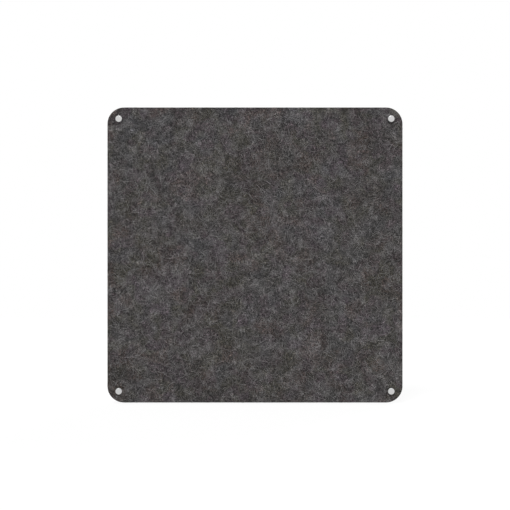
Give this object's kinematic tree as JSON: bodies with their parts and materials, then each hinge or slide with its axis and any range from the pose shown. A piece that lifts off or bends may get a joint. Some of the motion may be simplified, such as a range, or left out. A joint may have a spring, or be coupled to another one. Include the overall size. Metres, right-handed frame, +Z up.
{
  "type": "pinboard",
  "caption": "Square felt pinboard with rounded corners, held off the wall by turned metal stand-off fixings near its corners.",
  "frame": {"origin": "the board's centre, on the wall plane that the spacers' feet stand on", "axes": "+X to the right and +Z up as the board hangs, +Y into the wall; the board faces -Y"},
  "size_m": [0.75, 0.0688, 0.75],
  "materials": {
    "felt": "pressed marled fibre felt",
    "cap_metal": "satin anodised",
    "spacer_metal": "satin anodised",
    "clear_washer": "milky clear",
    "rubber_washer": "matt",
    "screw_zinc": "bright zinc",
    "plug_nylon": "moulded nylon"
  },
  "bodies": {
    "root": {"felt_panel": "felt", "cap_top_left": "cap_metal", "cap_top_right": "cap_metal", "cap_bottom_left": "cap_metal", "cap_bottom_right": "cap_metal", "front_washer_top_left": "clear_washer", "front_washer_top_right": "clear_washer", "front_washer_bottom_left": "clear_washer", "front_washer_bottom_right": "clear_washer", "rear_washer_top_left": "rubber_washer", "rear_washer_top_right": "rubber_washer", "rear_washer_bottom_left": "rubber_washer", "rear_washer_bottom_right": "rubber_washer", "spacer_top_left": "spacer_metal", "spacer_top_right": "spacer_metal", "spacer_bottom_left": "spacer_metal", "spacer_bottom_right": "spacer_metal", "wall_screw_top_left": "screw_zinc", "wall_screw_top_right": "screw_zinc", "wall_screw_bottom_left": "screw_zinc", "wall_screw_bottom_right": "screw_zinc", "wall_plug_top_left": "plug_nylon", "wall_plug_top_right": "plug_nylon", "wall_plug_bottom_left": "plug_nylon", "wall_plug_bottom_right": "plug_nylon"}
  },
  "joints": []
}
